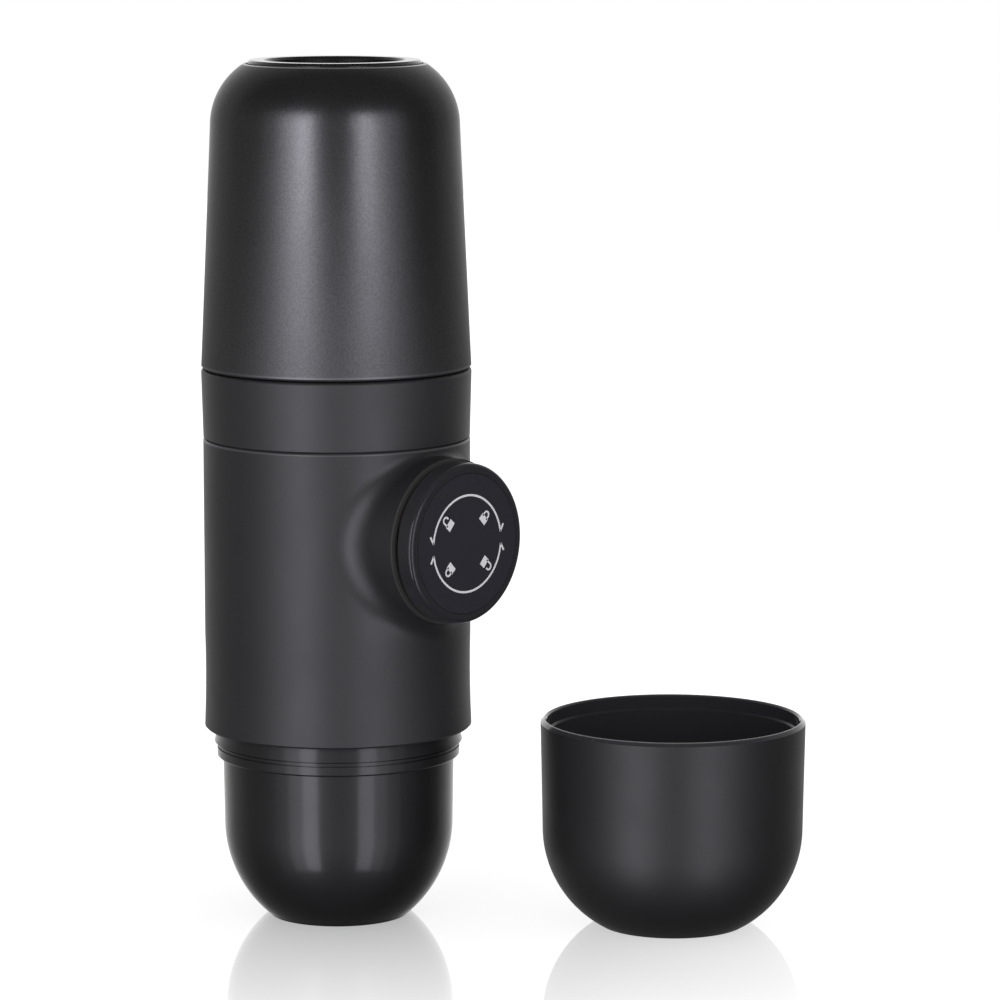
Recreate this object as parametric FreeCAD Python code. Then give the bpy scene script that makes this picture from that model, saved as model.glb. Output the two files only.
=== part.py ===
"""Handheld manual espresso maker, standing on its outlet head, with its cup beside it.

Lengths are in millimetres. The origin is the centre of the flat foot of the outlet head, +Z runs up
the maker's axis to the water tank, and the pump knob faces -Y. "Reach" is the distance in front of
the maker's axis, along -Y, and is used for everything that turns or slides on the pump's own axis.
"""
import FreeCAD, Part
import math
import os
from collections import namedtuple

Vec = FreeCAD.Vector
Via = namedtuple("Via", "r z")
UP = Vec(0, 0, 1)

# ---- clearances ----------------------------------------------------------------------------
free_gap = 0.3            # between pieces that move past each other
running_gap = 0.03        # a shaft or seal in the bore that guides it
seat_gap = 0.05           # between fixed pieces that slide together
part_off = 0.1            # under a valve that rests on its seat
overshoot = 1.0           # how far a cut runs past the face that it opens

# ---- main housing --------------------------------------------------------------------------
housing_height = 64.65
housing_radius = 29.5     # collar, tank, outlet head and cup all follow this radius
housing_waist = 0.1       # how far the lower half draws in
housing_foot_flare = 0.2
housing_top_edge = 0.3    # the bevel at the top, under the seam
housing_wall = 2.5
housing_foot_edge = 0.4
socket_wall = 3.2         # wall round the socket that takes the outlet head
socket_depth = 10.0
deck_thickness = 3.0
brew_ring_height = 2.8
brew_ring_width = 5.2

# ---- boss for the pump knob ----------------------------------------------------------------
boss_radius = 18.05
boss_proud = 5.2          # beyond the housing's front
boss_top_margin = 1.75    # from the boss up to the housing's top edge
boss_wall = 2.15          # round the guide barrel
boss_root_share = 0.8     # share of the housing's wall that the boss is rooted in
flare_side = 9.0          # blend radius beside the boss
flare_top = 1.2           # and above it, where the seam leaves little room
flare_bottom = 4.6
barrel_wall = 1.2
barrel_length = 23.5
bayonet_lip = 1.2
bayonet_depth = 2.0
lug_height = 1.9
lug_angle = 24.0
notch_play = 8.0          # how many degrees wider a notch is than its lug

# ---- outlet head: dome, neck and spigot ----------------------------------------------------
dome_inset = 1.3          # how much slimmer the dome's top is than the neck
dome_taper = 0.25         # how much slimmer the dome is where its curve begins
dome_curve_height = 21.2  # where the side starts to turn in
dome_curve_radius = 27.5
dome_height = 36.0
dome_wall = 2.2
dome_foot_edge = 0.8      # the eased edge round the foot
neck_step = 1.0           # how much wider the neck is than the spigot
neck_ring_proud = 0.6     # the ring that the cup snaps over
neck_ring_height = 2.95
neck_band_height = 1.75   # the plain band under the ring
neck_groove_height = 0.4  # two grooves part the ring, a thin bead and the band
neck_groove_depth = 0.4
neck_bead_height = 0.5
neck_edge = 0.35
adapter_ledge = 0.9       # the shelf that carries the filter adapter
spigot_wall = 2.3
spigot_height = 9.0
outlet_bore = 5.0
outlet_floor = 3.2
nozzle_wall = 2.45

# ---- collar between housing and tank -------------------------------------------------------
collar_height = 15.7
collar_step = 0.05        # how far the collar stands back from the housing
collar_flare = 0.4        # how much wider the collar is at its top
collar_wall = 2.5
collar_edge = 0.7         # the rounded edge under the tank
seam_height = 0.35        # the shadow groove between collar and housing
seam_depth = 0.5
collar_deck_rise = 3.2    # deck's underside above the housing's top edge
collar_register = 2.0     # the short spigot that centres the collar in the housing
tank_neck_height = 9.3
tank_neck_wall = 2.4

# ---- water tank ----------------------------------------------------------------------------
tank_height = 66.65
tank_step = 0.05          # how far the tank stands back from the collar
tank_edge = 0.4
tank_taper = 2.4          # how much slimmer the tank is where its shoulder begins
shoulder_radius = 16.0
shoulder_rise = 13.5
tank_wall = 2.2
tank_ledge = 1.2
tank_end_wall = 2.4
tank_end_lip = 0.5        # the thin edge round the foot ring
foot_ring_width = 4.4
foot_ring_height = 2.2
foot_ring_proud = 0.8
foot_ring_edge = 0.6
foot_recess = 3.6
seal_height = 1.5

# ---- coffee filter -------------------------------------------------------------------------
adapter_flange = 2.0
adapter_room = 1.4        # between the adapter and the inside of the dome
adapter_wall = 1.6
adapter_depth = 17.0
funnel_drop = 4.25
spout_radius = 4.4
spout_wall = 1.4
spout_gap = 0.55          # between the spout and the outlet nozzle
basket_wall = 0.6
basket_depth = 15.0
basket_flange = 2.2
basket_hole = 0.6         # radius of each hole
basket_pitch = 5.4
basket_margin = 3.6       # plain edge round the holes
gasket_height = 2.4
screen_thickness = 0.8
screen_drop = 0.8         # space above the shower screen
screen_hole = 0.7
screen_pitch = 5.3
screen_margin = 2.6

# ---- pump ----------------------------------------------------------------------------------
bore_radius = 7.0
bore_end_wall = 2.0
cylinder_wall = 3.0
piston_length = 8.0
piston_groove = 2.0
piston_home = 0.5         # room left at each end of the piston's travel
rod_radius = 3.0
gland_length = 2.5
gland_step = 1.5          # how much wider the gland is than the bore
gallery_bore = 2.0        # radius of the upright water passage
gallery_inset = 4.4       # from the strainer over it to the inside of the tank's neck
gallery_end_wall = 1.5
column_wall = 2.1
valve_radius = 2.8
valve_thickness = 1.2
valve_stem_radius = 0.95
valve_stem_length = 2.4
valve_room = 0.6          # round a valve in its pocket
valve_pocket_depth = 8.0
port_seal_height = 1.0
strainer_wall = 1.0
strainer_height = 6.0
strainer_slots = 3        # each runs right across the cap
vent_radius = 4.4
vent_height = 2.0
vent_stem_length = 2.0    # below the collar's deck

# ---- knob ----------------------------------------------------------------------------------
knob_inset = 0.6          # how much slimmer the knob is than its boss
knob_thickness = 4.0
knob_groove = 1.1         # the shadow gap between boss and knob
knob_edge_round = 1.1
knob_rim = 2.2            # round the disc in the knob's front
skirt_wall = 2.0
skirt_length = 25.8
hub_wall = 2.5
hub_length = 7.0
face_thickness = 1.2
cap_floor = 1.4
rod_screw_overhang = 1.2

# ---- return spring -------------------------------------------------------------------------
spring_wire = 1.1
spring_radius = 6.0
spring_length = 10.2      # with the knob pressed home
spring_turns = 6
spring_facets = 14        # straight facets in one turn
spring_seat = 0.6         # thickness of the rod's flange that the spring pushes on

# ---- fasteners -----------------------------------------------------------------------------
screw_radius = 1.4
screw_head_radius = 2.6
screw_head_height = 1.6
low_head_height = 0.8
deck_screw_depth = 1.5    # how deep a screw goes into the housing's deck
collar_screw_length = 14.0
screw_inset = 6.3         # from the housing's inner face to the circle of collar screws
screw_spread = 20.0       # their angle either side of the X axis
post_wall = 1.8

# ---- cup -----------------------------------------------------------------------------------
cup_height = 46.0
cup_play = 0.2            # between the cup and the neck's band
cup_rim_flare = 0.47
cup_curve_height = 21.5
cup_curve_radius = 24.6
cup_floor = 2.2
cup_wall = 1.6
cup_rim_edge = 0.8
cup_snap_depth = 3.0
cup_x = 42.9
cup_y = -61.6

# ---- radii that follow from the sizes above ------------------------------------------------
housing_inner = housing_radius - housing_wall
socket_radius = housing_radius - socket_wall
spigot_radius = socket_radius - free_gap
spigot_inner = spigot_radius - spigot_wall
neck_radius = spigot_radius + neck_step
neck_ring_radius = neck_radius + neck_ring_proud
dome_radius = neck_radius - dome_inset
dome_inner = spigot_inner - adapter_ledge
brew_ring_outer = spigot_inner - free_gap
brew_ring_inner = brew_ring_outer - brew_ring_width
collar_radius = housing_radius - collar_step
tank_radius = collar_radius + collar_flare - tank_step
tank_bore = tank_radius - tank_wall
neck_outer = tank_bore - free_gap
neck_inner = neck_outer - tank_neck_wall
flange_radius = spigot_inner - free_gap
adapter_radius = dome_inner - adapter_room
basket_radius = adapter_radius - adapter_wall - free_gap
cup_radius = neck_radius + cup_play + cup_wall
screw_circle = housing_inner - screw_inset
post_radius = screw_radius + post_wall
barrel_outer = boss_radius - boss_wall
barrel_inner = barrel_outer - barrel_wall
skirt_radius = barrel_inner - free_gap
skirt_inner = skirt_radius - skirt_wall
lug_radius = skirt_radius + lug_height
knob_radius = boss_radius - knob_inset
face_radius = knob_radius - knob_rim
hub_radius = rod_radius + hub_wall
rod_screw_radius = rod_radius + rod_screw_overhang
cylinder_radius = bore_radius + cylinder_wall
gland_radius = bore_radius + gland_step
valve_pocket_radius = valve_radius + valve_room
column_radius = valve_pocket_radius + column_wall
pump_screw_spread = column_radius + screw_head_radius + part_off

# ---- levels up the maker's axis ------------------------------------------------------------
band_bottom = dome_height + neck_edge
band_top = band_bottom + neck_band_height
bead_bottom = band_top + neck_groove_height
bead_top = bead_bottom + neck_bead_height
ring_bottom = bead_top + neck_groove_height
neck_top = ring_bottom + neck_ring_height
spigot_top = neck_top + spigot_height
housing_bottom = neck_top + free_gap
housing_top = housing_bottom + housing_height
deck_bottom = housing_bottom + socket_depth
deck_top = deck_bottom + deck_thickness
pump_z = housing_top - boss_top_margin - boss_radius
boss_foot = pump_z - boss_radius - flare_bottom - 2 * free_gap
collar_top = housing_top + collar_height - free_gap
collar_deck_z = housing_top + collar_deck_rise
tank_floor_z = collar_deck_z + deck_thickness
neck_rim_z = collar_top + tank_neck_height
tank_bottom = collar_top + free_gap
tank_top = tank_bottom + tank_height
shoulder_z = tank_top - shoulder_rise
tank_ledge_z = neck_rim_z + free_gap + seal_height + seat_gap
brew_face_z = deck_bottom - brew_ring_height
gasket_z = brew_face_z - free_gap - gasket_height
adapter_top = gasket_z - basket_wall
adapter_bottom = adapter_top - adapter_flange
ledge_z = adapter_bottom - free_gap
nozzle_top = outlet_floor + 2 * dome_wall
screen_top = deck_bottom - screen_drop
pump_foot_z = deck_top + port_seal_height
outlet_seat_z = pump_foot_z + valve_pocket_depth
column_top = collar_deck_z - port_seal_height

# ---- reaches along the pump axis -----------------------------------------------------------
boss_reach = housing_radius + boss_proud
lip_back = boss_reach - bayonet_lip
pocket_back = lip_back - bayonet_depth
lug_front = lip_back - free_gap
lug_back = pocket_back + free_gap
knob_back = boss_reach + knob_groove
knob_front = knob_back + knob_thickness
face_back = knob_front - face_thickness
rod_end = face_back - cap_floor
hub_back = rod_end - hub_length
spring_front = hub_back - 2 * free_gap - spring_seat
spring_back = spring_front - spring_length
cylinder_end = spring_back - free_gap
bore_mouth = cylinder_end - gland_length
gallery_y = neck_inner - gallery_inset - column_radius
gallery_reach = -gallery_y
bore_end = gallery_reach + gallery_bore + bore_end_wall
piston_back = bore_end + piston_home
piston_middle = piston_back + piston_length / 2


# ---- drawing helpers -----------------------------------------------------------------------
def spot(corner):
    """A corner (radius, height) as a point in the half-plane that is turned."""
    return Vec(corner[0], 0, corner[1])


def rounded_corner(before, corner, after, size):
    """Start, middle and end of the arc that rounds a corner between two straight edges."""
    here = spot(corner)
    back = (spot(before) - here).normalize()
    on = (spot(after) - here).normalize()
    half = back.getAngle(on) / 2
    reach = size / math.tan(half)
    centre = here + (back + on).normalize() * (size / math.sin(half))
    middle = centre + (here - centre).normalize() * size
    return here + back * reach, middle, here + on * reach


def outline(corners):
    """Closed wire through corners (r, z). A third number rounds a corner; a Via bends an edge."""
    points = [c for c in corners if not isinstance(c, Via)]
    arrive = {}
    leave = {}
    edges = []
    for i, corner in enumerate(points):
        arrive[i] = leave[i] = spot(corner)
        if len(corner) > 2 and corner[2] > 0:
            following = points[(i + 1) % len(points)]
            start, middle, end = rounded_corner(points[i - 1], corner, following, corner[2])
            arrive[i], leave[i] = start, end
            edges.append(Part.Arc(start, middle, end).toShape())
    at = -1
    for k, corner in enumerate(corners):
        if isinstance(corner, Via):
            continue
        at += 1
        following = corners[(k + 1) % len(corners)]
        start, end = leave[at], arrive[(at + 1) % len(points)]
        if isinstance(following, Via):
            edges.append(Part.Arc(start, spot(following), end).toShape())
        elif (end - start).Length > 1e-6:
            edges.append(Part.makeLine(start, end))
    return Part.Wire(Part.sortEdges(edges)[0])


def turned(corners):
    """Solid of revolution about the Z axis."""
    return Part.Face(outline(corners)).revolve(Vec(0, 0, 0), UP, 360)


def ring(inner, outer, low, high):
    """Plain ring of rectangular section, or a disc where the inner radius is zero."""
    return turned([(inner, low), (outer, low), (outer, high), (inner, high)])


def rod_at(x, y, radius, low, high):
    return Part.makeCylinder(radius, high - low, Vec(x, y, low), UP)


def on_pump(shape):
    """Lay a shape that was built up the Z axis along the pump axis, its height becoming reach."""
    laid = shape.copy()
    laid.rotate(Vec(0, 0, 0), Vec(1, 0, 0), 90)
    laid.translate(Vec(0, 0, pump_z))
    return laid


def sector(inner, outer, low, high, centre_angle, width):
    """Part of a ring, width degrees wide about centre_angle."""
    face = Part.Face(outline([(inner, low), (outer, low), (outer, high), (inner, high)]))
    piece = face.revolve(Vec(0, 0, 0), UP, width)
    piece.rotate(Vec(0, 0, 0), UP, centre_angle - width / 2)
    return piece


def side_arc(side_r, side_z, radius, z):
    """The point at height z on an arc that meets an upright side at (side_r, side_z)."""
    return side_r - radius + math.sqrt(radius ** 2 - (z - side_z) ** 2), z


def side_arc_middle(side_r, side_z, radius, z):
    """Halfway round that arc, between its start at side_z and height z."""
    half = math.asin((z - side_z) / radius) / 2
    return Via(side_r - radius * (1 - math.cos(half)), side_z + radius * math.sin(half))


def coil(radius, wire, low, high, turns, facets):
    """Coil spring of square wire, made of straight facets, with its ends inside low and high."""
    climb = (high - low - wire) / (turns * facets)
    sections = []
    for i in range(turns * facets + 1):
        z = low + climb * i
        inner = radius - wire / 2
        outer = radius + wire / 2
        corners = [Vec(inner, 0, z), Vec(outer, 0, z), Vec(outer, 0, z + wire), Vec(inner, 0, z + wire)]
        section = Part.makePolygon(corners + corners[:1])
        section.rotate(Vec(0, 0, 0), UP, 360.0 * i / facets)
        sections.append(section)
    return Part.makeLoft(sections, True, True)


def screw(x, y, head_low, length):
    """Pan-head screw pointing down, its head resting at head_low."""
    head = rod_at(x, y, screw_head_radius, head_low, head_low + screw_head_height)
    return head.fuse(rod_at(x, y, screw_radius, head_low - length, head_low)).removeSplitter()


def hole_spots(pitch, reach):
    """Hexagonal pattern of points whose centres lie within reach of the axis, without the centre."""
    rows = int(reach / pitch) + 1
    spots = []
    for row in range(-rows, rows + 1):
        for column in range(-rows, rows + 1):
            x = pitch * (column + row / 2.0)
            y = pitch * row * math.sqrt(3) / 2
            if 1e-6 < math.hypot(x, y) <= reach + 1e-6:
                spots.append((x, y))
    return spots


def hexagon(x, y, radius, z):
    points = []
    for k in range(7):
        angle = math.radians(60 * k)
        points.append(Vec(x + radius * math.cos(angle), y + radius * math.sin(angle), z))
    return Part.makePolygon(points)


def perforate(plate, pitch, reach, radius, low, high):
    """Hexagonal holes through a plate, in a hexagonal pattern."""
    up = Vec(0, 0, high - low)
    prisms = [Part.Face(hexagon(x, y, radius, low)).extrude(up) for x, y in hole_spots(pitch, reach)]
    return plate.cut(Part.makeCompound(prisms))


# ---- outlet head ---------------------------------------------------------------------------
def dome_curve(z):
    """Point of the dome's outer curve at height z."""
    return side_arc(dome_radius - dome_taper, dome_curve_height, dome_curve_radius, z)


def make_outlet_head():
    """Dome with its neck rings and spigot; the dome's floor falls to the outlet."""
    side_r = dome_radius - dome_taper
    foot_r = dome_curve(0)[0]
    half_way = dome_curve(dome_curve_height / 2)
    groove_r = neck_radius - neck_groove_depth
    return turned([
        (outlet_bore, 0),
        (dome_curve(dome_foot_edge)[0] - dome_foot_edge, 0),
        dome_curve(dome_foot_edge),
        side_arc_middle(side_r, dome_curve_height, dome_curve_radius, dome_foot_edge),
        (side_r, dome_curve_height),
        (dome_radius, dome_height),
        (neck_radius - neck_edge, dome_height),
        (neck_radius, band_bottom),
        (neck_radius, band_top),
        (groove_r, band_top),
        (groove_r, bead_bottom),
        (neck_radius, bead_bottom),
        (neck_radius, bead_top),
        (groove_r, bead_top),
        (groove_r, ring_bottom),
        (neck_ring_radius, ring_bottom),
        (neck_radius, neck_top),
        (spigot_radius, neck_top),
        (spigot_radius, spigot_top),
        (spigot_inner, spigot_top),
        (spigot_inner, ledge_z),
        (dome_inner, ledge_z),
        (dome_inner, dome_curve_height),
        (half_way[0] - dome_wall, half_way[1]),
        (foot_r, outlet_floor + dome_wall),
        (outlet_bore, outlet_floor),
    ])


def make_outlet_nozzle():
    """Insert in the foot that the coffee runs through."""
    outer = outlet_bore - seat_gap
    bore = outer - nozzle_wall
    seat_z = outlet_floor + dome_wall
    return turned([
        (bore, dome_foot_edge),
        (outer, dome_foot_edge),
        (outer, seat_z),
        (outlet_bore + dome_wall, seat_z),
        (outlet_bore + dome_wall, nozzle_top),
        (bore + dome_wall, nozzle_top),
        (bore, seat_z),
    ])


# ---- coffee filter -------------------------------------------------------------------------
def make_filter_adapter():
    """Holder for the basket: a flange on the head's ledge, a cup and a funnel to the spout."""
    inner = adapter_radius - adapter_wall
    floor_z = adapter_bottom - adapter_depth
    funnel_z = floor_z - funnel_drop
    spout_end = nozzle_top + spout_gap
    spout_inner = spout_radius - spout_wall
    return turned([
        (spout_inner, spout_end),
        (spout_radius, spout_end),
        (spout_radius, funnel_z),
        (adapter_radius, floor_z),
        (adapter_radius, adapter_bottom),
        (flange_radius, adapter_bottom),
        (flange_radius, adapter_top),
        (inner, adapter_top),
        (inner, floor_z + adapter_wall),
        (spout_inner, funnel_z + adapter_wall),
    ])


def make_filter_basket():
    """Thin perforated cup that holds the ground coffee."""
    floor_z = adapter_top - basket_depth
    cup = turned([
        (0, floor_z - basket_wall),
        (basket_radius, floor_z - basket_wall),
        (basket_radius, adapter_top),
        (basket_radius + basket_flange, adapter_top),
        (basket_radius + basket_flange, gasket_z),
        (basket_radius - basket_wall, gasket_z),
        (basket_radius - basket_wall, floor_z),
        (0, floor_z),
    ])
    reach = basket_radius - basket_margin
    return perforate(cup, basket_pitch, reach, basket_hole, floor_z - 2 * basket_wall, floor_z + basket_wall)


def make_adapter_gasket():
    return ring(basket_radius + free_gap, flange_radius, gasket_z, gasket_z + gasket_height)


def make_shower_screen():
    """Perforated plate that spreads the hot water over the coffee."""
    outer = brew_ring_inner - seat_gap
    low = screen_top - screen_thickness
    plate = ring(screw_radius + seat_gap, outer, low, screen_top)
    reach = outer - screen_margin
    return perforate(plate, screen_pitch, reach, screen_hole, low - screen_thickness, screen_top + screen_drop)


def make_screen_screw():
    """Screw in the middle of the shower screen, pointing up into the deck."""
    seat = screen_top - screen_thickness
    tip = deck_bottom + deck_screw_depth
    return turned([
        (0, seat - low_head_height),
        (screw_head_radius, seat - low_head_height),
        (screw_head_radius, seat),
        (screw_radius, seat),
        (screw_radius, tip),
        (0, tip),
    ])


# ---- main housing --------------------------------------------------------------------------
def is_boss_joint(edge):
    """True for the edges where the boss meets the body."""
    first = edge.FirstParameter
    last = edge.LastParameter
    for place in (first, (first + last) / 2, last):
        p = edge.valueAt(place)
        off_pump = math.hypot(p.x, p.z - pump_z)
        off_body = math.hypot(p.x, p.y)
        if abs(off_pump - boss_radius) > 0.01 or abs(off_body - housing_radius) > 0.01:
            return False
    return edge.Length > seat_gap


def flare_at(vertex):
    """The blend radius at an end of a joint edge: beside, above or below the boss."""
    rise = vertex.Point.z - pump_z
    if abs(rise) < boss_radius / 2:
        return flare_side
    return flare_top if rise > 0 else flare_bottom


def flared_half():
    """The boss on a plain cylinder, to the right of the middle plane; its blend grows to the side."""
    room = 2 * (boss_radius + flare_side)
    depth = 2 * housing_radius
    body = Part.makeCylinder(housing_radius, room, Vec(0, 0, pump_z - room / 2), UP)
    solid = body.fuse(on_pump(Part.makeCylinder(boss_radius, boss_reach))).removeSplitter()
    above = Part.makeBox(depth, depth, room / 2, Vec(0, -depth, pump_z))
    below = Part.makeBox(depth, depth, room / 2, Vec(0, -depth, pump_z - room / 2))
    sharp = solid.common(above).fuse(solid.common(below))
    blends = []
    for number, edge in enumerate(sharp.Edges, 1):
        if is_boss_joint(edge):
            blends.append((number, flare_at(edge.lastVertex(True)), flare_at(edge.firstVertex(True))))
    document = FreeCAD.newDocument()
    base = document.addObject("Part::Feature", "sharp")
    base.Shape = sharp
    blend = document.addObject("Part::Fillet", "flared")
    blend.Base = base
    blend.Edges = blends
    document.recompute()
    flared = blend.Shape.copy()
    FreeCAD.closeDocument(document.Name)
    return flared


def add_boss(shell):
    """The shell with its flared boss, whose halves are mirrored about the middle plane."""
    root_radius = housing_radius - boss_root_share * housing_wall
    head = housing_top - housing_top_edge
    width = boss_radius + flare_side / 2
    core = Part.makeCylinder(root_radius, 2 * head, Vec(0, 0, 0), UP)
    clip = Part.makeBox(width, 2 * housing_radius, head - boss_foot, Vec(0, -2 * housing_radius, boss_foot))
    half = flared_half().cut(core).common(clip)
    return shell.fuse([half, half.mirror(Vec(0, 0, 0), Vec(1, 0, 0))]).removeSplitter()


def knob_opening():
    """What is cut from the boss: the barrel's seat, the lugs' pocket, the mouth and its notches."""
    mouth_end = boss_reach + overshoot
    opening = ring(0, barrel_outer + seat_gap, 0, pocket_back)
    opening = opening.fuse(ring(0, lug_radius + free_gap, pocket_back - seat_gap, lip_back))
    opening = opening.fuse(ring(0, skirt_radius + 2 * free_gap, lip_back - seat_gap, mouth_end))
    for side in (0, 180):
        notch = sector(skirt_radius, lug_radius + free_gap, lip_back - seat_gap, mouth_end,
                       side, lug_angle + notch_play)
        opening = opening.fuse(notch)
    return on_pump(opening)


def screw_spots():
    spots = []
    for side in (0, 180):
        for turn in (-screw_spread, screw_spread):
            angle = math.radians(side + turn)
            spots.append((screw_circle * math.cos(angle), screw_circle * math.sin(angle)))
    return spots


def make_screw_posts():
    """Posts for the collar screws, each tied to the housing wall by a rib."""
    hole_low = collar_deck_z - collar_screw_length - screw_radius
    low = hole_low - screw_radius
    rib_top = housing_top - collar_register - free_gap
    rib_length = housing_inner + housing_wall / 2 - screw_circle
    posts = []
    for x, y in screw_spots():
        rib = Part.makeBox(rib_length, 2 * screw_radius, rib_top - low, Vec(screw_circle, -screw_radius, low))
        rib.rotate(Vec(0, 0, 0), UP, math.degrees(math.atan2(y, x)))
        posts.append(rod_at(x, y, post_radius, low, collar_deck_z).fuse(rib))
    joined = posts[0].fuse(posts[1:])
    for x, y in screw_spots():
        joined = joined.cut(rod_at(x, y, screw_radius + seat_gap, hole_low, collar_deck_z + overshoot))
    return joined


def make_housing_shell():
    """The housing's tube with its deck, brew ring and socket, before the boss is added."""
    foot_radius = housing_radius + housing_foot_flare
    straight_z = boss_foot - free_gap
    waist_z = (housing_bottom + straight_z) / 2
    return turned([
        (socket_radius, housing_bottom),
        (foot_radius - housing_foot_edge, housing_bottom),
        (foot_radius, housing_bottom + housing_foot_edge),
        Via(housing_radius - housing_waist, waist_z),
        (housing_radius, straight_z),
        (housing_radius, housing_top - housing_top_edge),
        (housing_radius - housing_top_edge, housing_top),
        (housing_inner, housing_top),
        (housing_inner, deck_top),
        (0, deck_top),
        (0, deck_bottom),
        (brew_ring_inner, deck_bottom),
        (brew_ring_inner, brew_face_z),
        (brew_ring_outer, brew_face_z),
        (brew_ring_outer, deck_bottom),
        (socket_radius, deck_bottom),
    ])


def make_main_housing():
    """Tubular housing with the flared pump boss, the deck over the coffee and the screw posts."""
    housing = add_boss(make_housing_shell()).cut(knob_opening())
    hole = screw_radius + seat_gap
    housing = housing.cut(rod_at(0, gallery_y, gallery_bore, deck_bottom - overshoot, deck_top + overshoot))
    for side in (-1, 1):
        x = side * pump_screw_spread
        housing = housing.cut(rod_at(x, gallery_y, hole, deck_top - deck_screw_depth - seat_gap,
                                     deck_top + overshoot))
    housing = housing.cut(rod_at(0, 0, hole, deck_bottom - overshoot, deck_bottom + deck_screw_depth + seat_gap))
    return housing.fuse(make_screw_posts()).removeSplitter()


def make_guide_barrel():
    """Liner of the boss that guides the knob's skirt."""
    return on_pump(ring(barrel_inner, barrel_outer, pocket_back - barrel_length, pocket_back))


# ---- collar --------------------------------------------------------------------------------
def make_coupling_collar():
    """Ring with a deck that closes the pump space and the neck that the tank screws on to."""
    register = housing_inner - seat_gap
    register_low = housing_top - collar_register
    collar = turned([
        (0, collar_deck_z),
        (register - collar_wall, collar_deck_z),
        (register - collar_wall, register_low),
        (register, register_low),
        (register, housing_top),
        (collar_radius - seam_depth, housing_top),
        (collar_radius - seam_depth, housing_top + seam_height),
        (collar_radius, housing_top + seam_height),
        (collar_radius + collar_flare, collar_top, collar_edge),
        (neck_outer, collar_top),
        (neck_outer, neck_rim_z),
        (neck_inner, neck_rim_z),
        (neck_inner, tank_floor_z),
        (0, tank_floor_z),
    ])
    low = collar_deck_z - overshoot
    high = tank_floor_z + overshoot
    holes = [rod_at(x, y, screw_radius + seat_gap, low, high) for x, y in screw_spots()]
    holes += [rod_at(0, y, gallery_bore, low, high) for y in (gallery_y, -gallery_y)]
    return collar.cut(Part.makeCompound(holes))


def make_collar_screws():
    return Part.makeCompound([screw(x, y, tank_floor_z, collar_screw_length) for x, y in screw_spots()])


def make_inlet_strainer():
    """Slotted cap over the pump's inlet, on the floor of the tank."""
    top = tank_floor_z + strainer_height
    inner = column_radius - strainer_wall
    cap = turned([
        (inner, tank_floor_z),
        (column_radius, tank_floor_z),
        (column_radius, top),
        (0, top),
        (0, top - strainer_wall),
        (inner, top - strainer_wall),
    ])
    slot_low = tank_floor_z + strainer_wall
    slot_high = top - 2 * strainer_wall
    length = 3 * column_radius
    for k in range(strainer_slots):
        slot = Part.makeBox(length, strainer_wall, slot_high - slot_low,
                            Vec(-length / 2, -strainer_wall / 2, slot_low))
        slot.rotate(Vec(0, 0, 0), UP, 180.0 * k / strainer_slots)
        cap = cap.cut(slot)
    cap.translate(Vec(0, gallery_y, 0))
    return cap


def make_vent_valve():
    """Soft umbrella valve that lets air into the tank as the water leaves."""
    low = collar_deck_z - vent_stem_length
    top = tank_floor_z + vent_height
    stem = gallery_bore - seat_gap
    valve = turned([
        (0, low),
        (stem, low),
        (stem, tank_floor_z),
        (vent_radius, tank_floor_z),
        (stem, top),
        (0, top),
    ])
    valve.translate(Vec(0, -gallery_y, 0))
    return valve


# ---- tank ----------------------------------------------------------------------------------
tank_side = tank_radius - tank_taper
tank_end = side_arc(tank_side, shoulder_z, shoulder_radius, tank_top)[0]


def make_tank_shell():
    """Tapered tank with a round shoulder, a seat for its foot ring and room for the collar's neck."""
    seat_r = tank_end - tank_end_lip
    seat_z = tank_top + foot_ring_proud - foot_ring_height
    recess_r = seat_r - foot_ring_width
    recess_z = tank_top + foot_ring_proud - foot_recess
    inner_top = recess_z - tank_end_wall
    inner_side = tank_side - tank_wall
    turn_z = (shoulder_z + inner_top) / 2
    return turned([
        (tank_bore, tank_bottom),
        (tank_radius - tank_edge, tank_bottom),
        (tank_radius, tank_bottom + tank_edge),
        (tank_side, shoulder_z),
        side_arc_middle(tank_side, shoulder_z, shoulder_radius, tank_top),
        (tank_end, tank_top),
        (seat_r, tank_top),
        (seat_r, seat_z),
        (recess_r, seat_z),
        (recess_r, recess_z),
        (0, recess_z),
        (0, inner_top),
        (recess_r, inner_top),
        (inner_side - tank_ledge, turn_z),
        (inner_side, shoulder_z),
        (tank_bore - tank_ledge, tank_ledge_z),
        (tank_bore, tank_ledge_z),
    ])


def make_tank_foot_ring():
    """Glossy ring set in the tank's end, which the tank stands on while it is filled."""
    outer = tank_end - tank_end_lip - free_gap
    inner = tank_end - tank_end_lip - foot_ring_width
    top = tank_top + foot_ring_proud
    edge = foot_ring_edge
    return turned([
        (inner, top - foot_ring_height),
        (outer, top - foot_ring_height),
        (outer, top - edge),
        (outer - edge, top),
        (inner + edge, top),
        (inner, top - edge),
    ])


def make_tank_seal():
    low = neck_rim_z + free_gap
    return ring(neck_inner, tank_bore - free_gap, low, low + seal_height)


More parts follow.
